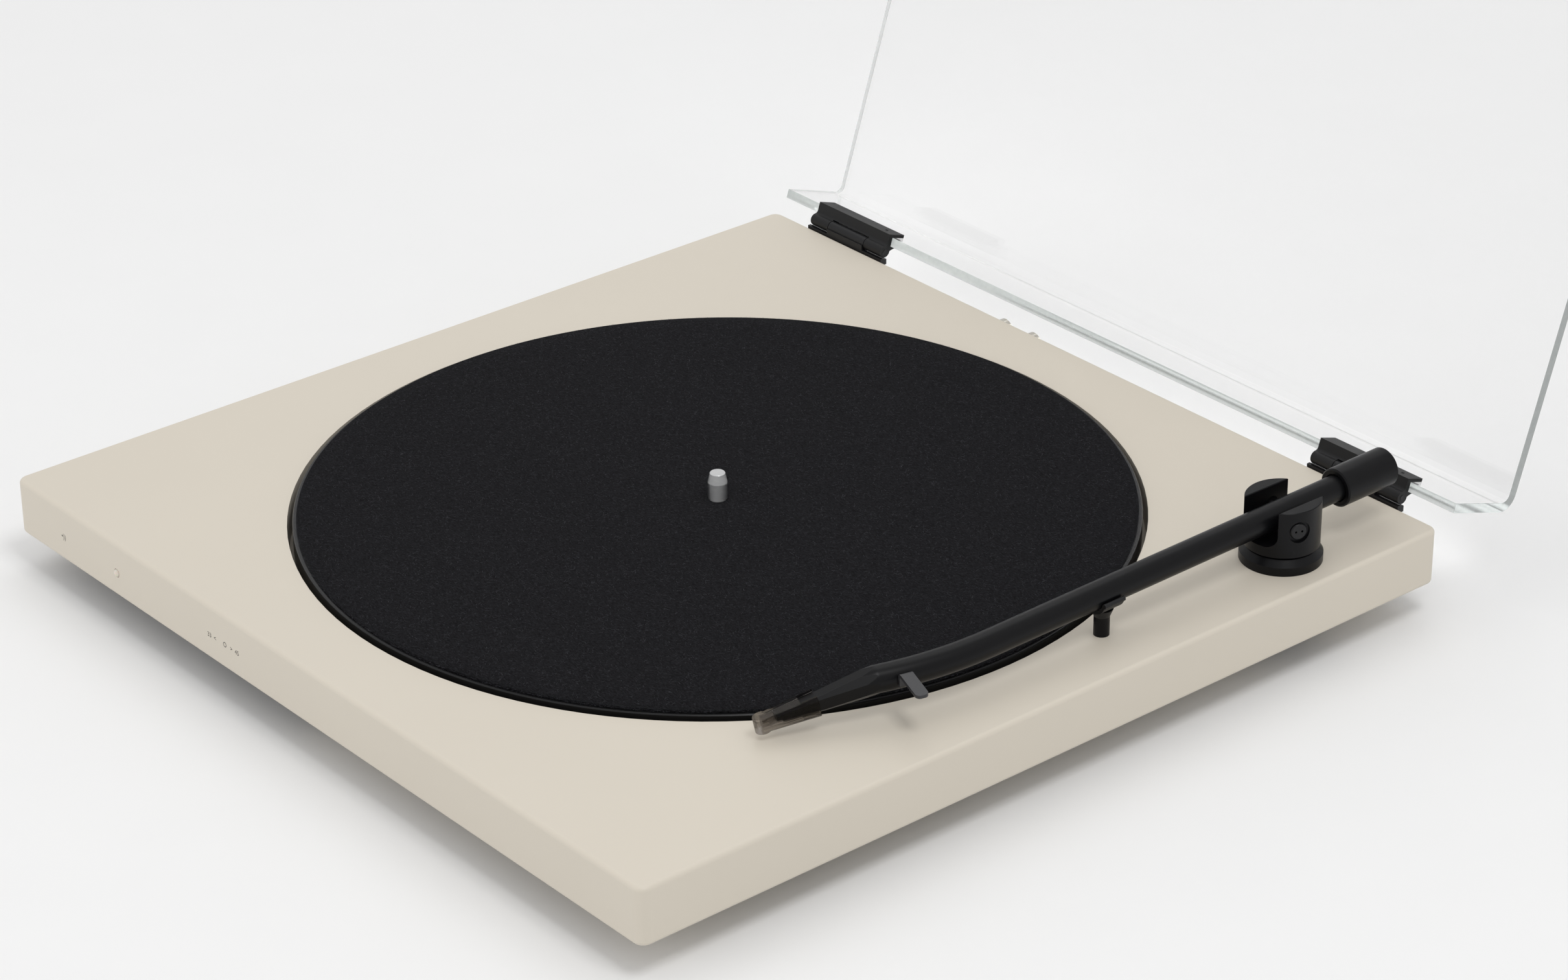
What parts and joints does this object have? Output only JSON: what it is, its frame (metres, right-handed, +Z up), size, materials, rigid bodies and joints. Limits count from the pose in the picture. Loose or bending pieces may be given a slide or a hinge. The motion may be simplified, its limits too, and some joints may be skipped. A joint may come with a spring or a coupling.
{
  "type": "turntable record player",
  "caption": "Low square turntable with a flush felt-covered platter on a belt drive, a bent tube arm in a slotted pivot post, and a clear bent lid on clip hinges.",
  "frame": {"origin": "on the platter axis at the height of the mat's top face, where the record lies", "axes": "+Z up along the spindle, +Y to the rear where the lid is hinged, +X to the right where the arm stands"},
  "size_m": [0.3584, 0.5044, 0.3666],
  "materials": {
    "painted_board": "satin sand paint on fibreboard",
    "black_felt": "needled felt",
    "platter_paint": "satin dark grey paint",
    "spindle_metal": "fine turned, bright",
    "black_anodised": "bead blasted, black anodised",
    "black_steel": "black oxide",
    "bright_steel": "zinc plated",
    "ball_steel": "polished",
    "bush_bronze": "sintered",
    "cast_zinc": "as cast",
    "black_abs": "fine moulded texture",
    "sub_platter_abs": "moulded",
    "soft_rubber": "matt",
    "clear_acrylic": "polished clear sheet",
    "smoky_acrylic": "smoke tinted, clear",
    "pick_up_black": "moulded",
    "cantilever": "drawn tube",
    "circuit_board": "solder mask",
    "shield_can": "tinned",
    "socket_plating": "plated",
    "lamp_diffuser": "milky, clear"
  },
  "bodies": {
    "plinth_body": {"plinth": "painted_board", "bearing_housing": "cast_zinc", "bearing_bush": "bush_bronze", "thrust_ball": "ball_steel", "recess_screws": "bright_steel", "drive_belt": "soft_rubber", "motor": "bright_steel", "motor_plate": "bright_steel", "motor_cover": "black_abs", "foot_front_left": "black_abs", "foot_front_right": "black_abs", "foot_rear_left": "black_abs", "foot_rear_right": "black_abs", "foot_pads": "soft_rubber", "underside_screws": "bright_steel", "control_cover": "black_abs", "jack_cover": "black_abs", "control_board": "circuit_board", "speed_switch": "black_abs", "pair_switch": "black_abs", "status_led": "lamp_diffuser", "wireless_module": "shield_can", "jack_plate": "black_abs", "rca_jacks": "socket_plating", "ground_post": "bright_steel", "dc_inlet": "black_abs", "jack_board": "circuit_board", "arm_base": "black_anodised", "swing_bearings": "ball_steel", "arm_base_nut": "bright_steel", "rest_post": "black_anodised", "rest_clip": "black_abs", "hinge_plates": "black_abs", "hinge_pins": "bright_steel", "rear_screws": "black_steel"},
    "platter": {"spindle_shaft": "spindle_metal", "sub_platter": "sub_platter_abs", "platter": "platter_paint", "felt_mat": "black_felt"},
    "motor_rotor": {"motor_pulley": "bush_bronze", "motor_shaft": "bright_steel"},
    "arm_yoke": {"yoke": "black_anodised", "yoke_shaft": "bright_steel", "shaft_clip": "bright_steel", "pivot_screws": "black_steel"},
    "arm": {"arm_tube": "black_anodised", "pivot_bushes": "bush_bronze", "headshell": "black_anodised", "cartridge": "pick_up_black", "stylus": "cantilever", "finger_lift": "black_steel", "arm_end_cap": "black_abs"},
    "guard": {"stylus_guard": "smoky_acrylic"},
    "weight": {"counterweight": "black_steel", "weight_ring": "soft_rubber"},
    "dust_lid": {"lid": "clear_acrylic", "hinge_clips": "black_abs"},
    "speed_control": {"speed_lever": "black_abs"},
    "pairing_control": {"pair_button": "black_abs"}
  },
  "joints": [
    {"name": "platter_spin", "type": "hinge", "parent": "plinth_body", "child": "platter", "pos_m": [0, 0, 0], "axis": [0, 0, 1], "continuous": true},
    {"name": "motor_spin", "type": "hinge", "parent": "plinth_body", "child": "motor_rotor", "pos_m": [-0.07403, -0.07403, 0], "axis": [0, 0, 1], "continuous": true},
    {"name": "arm_swing", "type": "hinge", "parent": "plinth_body", "child": "arm_yoke", "pos_m": [0.1569, 0.1205, 0], "axis": [0, 0, 1], "range_deg": [-34, 0]},
    {"name": "arm_lift", "type": "hinge", "parent": "arm_yoke", "child": "arm", "pos_m": [0.1569, 0.1205, 0.0139], "axis": [-0.9397, 0.342, 0], "range_deg": [0, 8]},
    {"name": "weight_slide", "type": "slide", "parent": "arm", "child": "weight", "axis": [0.0174, 0.9996, 0.022], "range_m": [0, 0.006]},
    {"name": "guard_slide", "type": "slide", "parent": "arm", "child": "guard", "axis": [-0.3359, -0.9187, -0.2078], "range_m": [0, 0.01]},
    {"name": "lid_hinge", "type": "hinge", "parent": "plinth_body", "child": "dust_lid", "pos_m": [0, 0.18, 0.0006], "axis": [-1, 0, 0], "range_deg": [-108.5, 0]},
    {"name": "speed_slide", "type": "slide", "parent": "plinth_body", "child": "speed_control", "axis": [1, 0, 0], "range_m": [-0.005, 0.005]},
    {"name": "pairing_press", "type": "slide", "parent": "plinth_body", "child": "pairing_control", "axis": [0, 0, 1], "range_m": [0, 0.001], "stiffness_N_per_m": 500}
  ],
  "couplings": [
    {"joint": "motor_spin", "follows": "platter_spin", "ratio": 9.5385}
  ]
}
